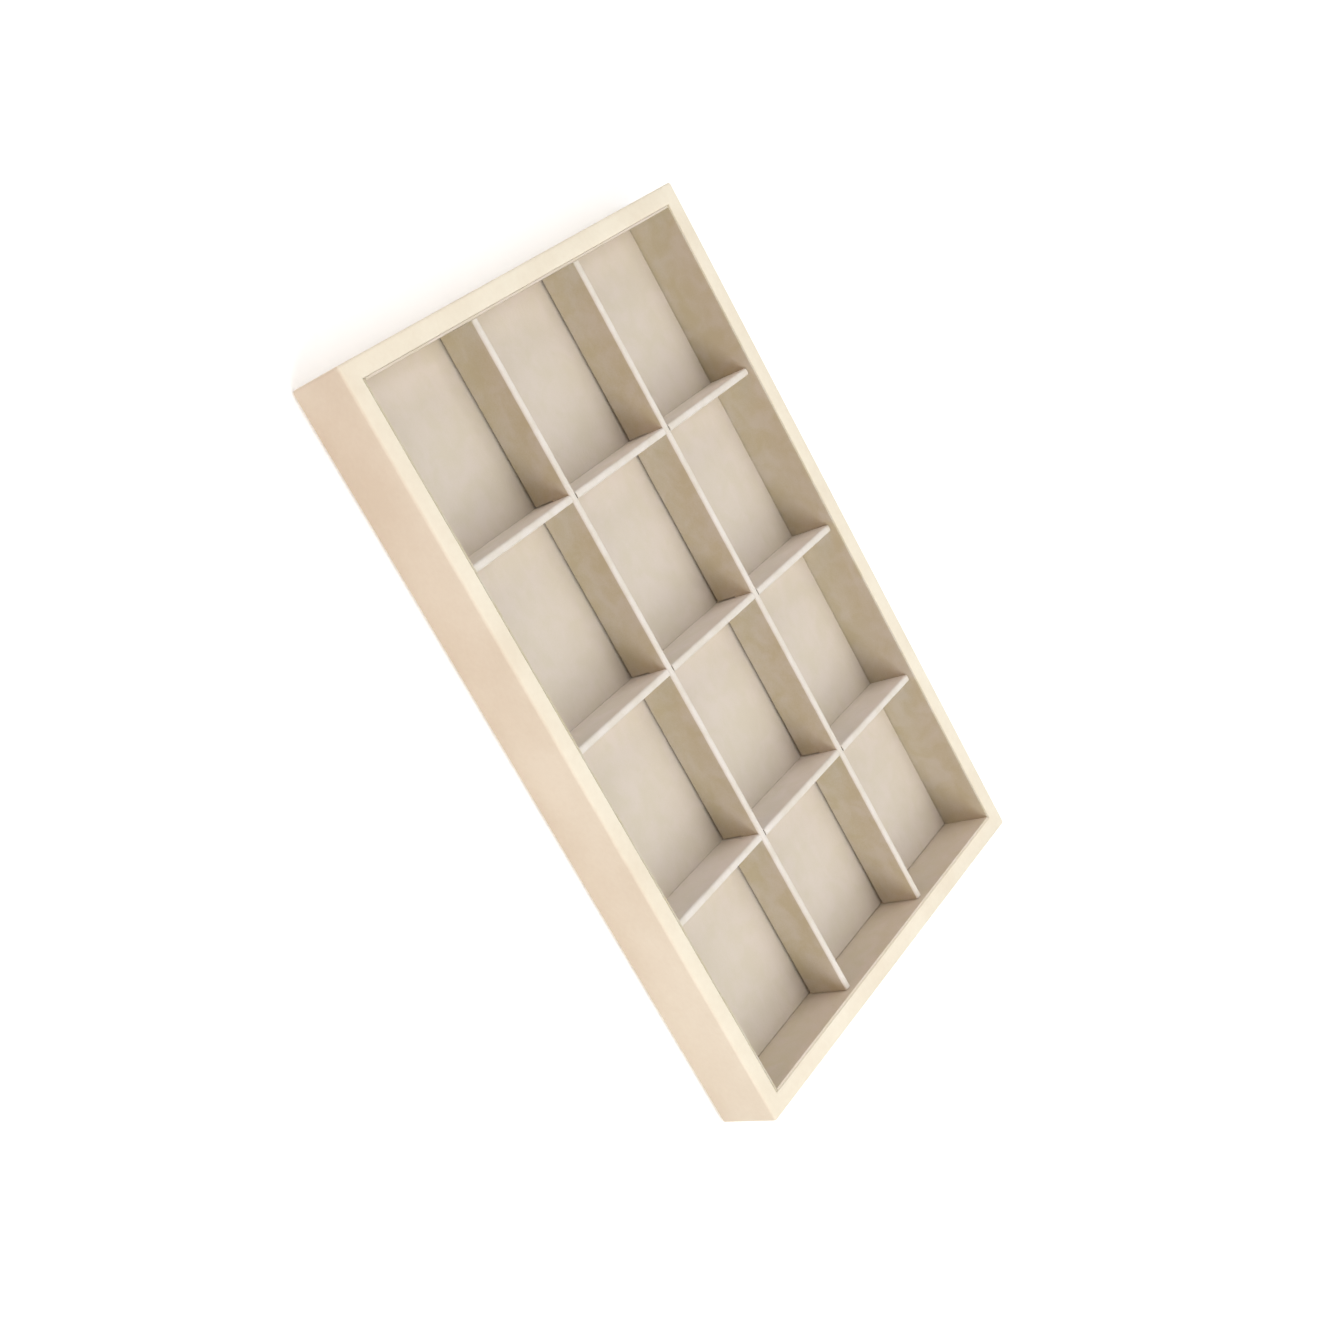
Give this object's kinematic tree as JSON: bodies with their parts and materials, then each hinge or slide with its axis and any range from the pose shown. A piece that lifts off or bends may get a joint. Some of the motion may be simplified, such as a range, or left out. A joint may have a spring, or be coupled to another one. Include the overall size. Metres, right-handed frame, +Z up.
{
  "type": "jewelry tray",
  "caption": "Open rectangular jewelry tray: leatherette-wrapped box, velvet-lined inside, with a drop-in egg-crate of velvet dividers that lifts out of the compartments.",
  "frame": {"origin": "middle of the underside of the felt, on the surface that the tray stands on", "axes": "+X along the length from the near end to the far end, +Y across from the left wall to the right wall, +Z up out of the open top"},
  "size_m": [0.35, 0.225, 0.0315],
  "materials": {
    "leatherette": "cream, fine grain, satin",
    "velvet": "greige short-pile velvet",
    "felt": "pressed felt",
    "fibreboard": "raw fibreboard",
    "greyboard": "raw greyboard",
    "steel": "bright wire"
  },
  "bodies": {
    "tray": {"base_board": "fibreboard", "left_wall_board": "fibreboard", "right_wall_board": "fibreboard", "near_end_board": "fibreboard", "far_end_board": "fibreboard", "corner_brads": "steel", "leatherette_wrap": "leatherette", "base_cover": "felt", "left_liner_card": "greyboard", "right_liner_card": "greyboard", "near_liner_card": "greyboard", "far_liner_card": "greyboard", "left_liner_velvet": "velvet", "right_liner_velvet": "velvet", "near_liner_velvet": "velvet", "far_liner_velvet": "velvet", "floor_card": "greyboard", "floor_velvet": "velvet"},
    "cross_dividers": {"cross_divider_near_core": "greyboard", "cross_divider_middle_core": "greyboard", "cross_divider_far_core": "greyboard", "cross_divider_near_cover": "velvet", "cross_divider_middle_cover": "velvet", "cross_divider_far_cover": "velvet"},
    "long_divider_left": {"long_divider_left_core": "greyboard", "long_divider_left_cover": "velvet"},
    "long_divider_right": {"long_divider_right_core": "greyboard", "long_divider_right_cover": "velvet"}
  },
  "joints": [
    {"name": "grid_lift", "type": "slide", "parent": "tray", "child": "cross_dividers", "axis": [0, 0, 1], "range_m": [0, 0.04]},
    {"name": "left_divider_lift", "type": "slide", "parent": "cross_dividers", "child": "long_divider_left", "axis": [0, 0, 1], "range_m": [0, 0.04]},
    {"name": "right_divider_lift", "type": "slide", "parent": "cross_dividers", "child": "long_divider_right", "axis": [0, 0, 1], "range_m": [0, 0.04]}
  ]
}
